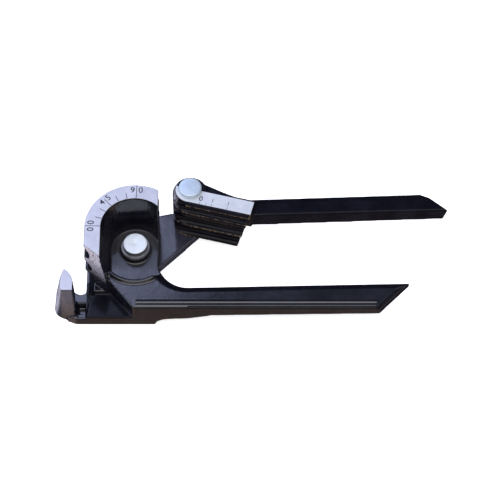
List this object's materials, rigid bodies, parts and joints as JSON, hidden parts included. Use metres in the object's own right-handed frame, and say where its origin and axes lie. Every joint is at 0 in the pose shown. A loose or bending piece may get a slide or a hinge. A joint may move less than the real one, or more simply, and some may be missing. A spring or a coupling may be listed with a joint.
{
  "type": "tube bender",
  "caption": "Hand lever tube bender: cast former with recess, angle scale, hook and fixed handle, swinging link, and grooved shoe on a lever handle.",
  "frame": {"origin": "on the main pin's axis, in the plane of the frame's back that the tool lies on", "axes": "+Z along both pins towards the scale, +X along the handles, +Y from the fixed handle to the lever"},
  "size_m": [0.2023, 0.0681, 0.0392],
  "materials": {
    "black_enamel": "gloss black enamel over cast iron, worn bright along sharp edges",
    "ground_face": "ground bright through the enamel",
    "plated_steel": "bright zinc plate",
    "washer_steel": "dull dark steel",
    "spring_steel": "phosphated spring steel",
    "scale_ink": "black stamped marks"
  },
  "bodies": {
    "frame": {"former_frame": "black_enamel", "main_pin": "plated_steel", "head_washer": "washer_steel", "tail_washer": "washer_steel", "tail_ring": "spring_steel"},
    "link": {"link_arm": "black_enamel", "shoe_pin": "plated_steel", "shoe_washer": "washer_steel"},
    "lever": {"shoe_lever": "black_enamel"}
  },
  "joints": [
    {"name": "link_swing", "type": "hinge", "parent": "frame", "child": "link", "pos_m": [0, 0, 0], "axis": [0, 0, 1], "range_deg": [-25, 154]},
    {"name": "lever_swing", "type": "hinge", "parent": "link", "child": "lever", "pos_m": [0.02829, 0.02258, 0], "axis": [0, 0, 1], "range_deg": [-50, 30]}
  ]
}
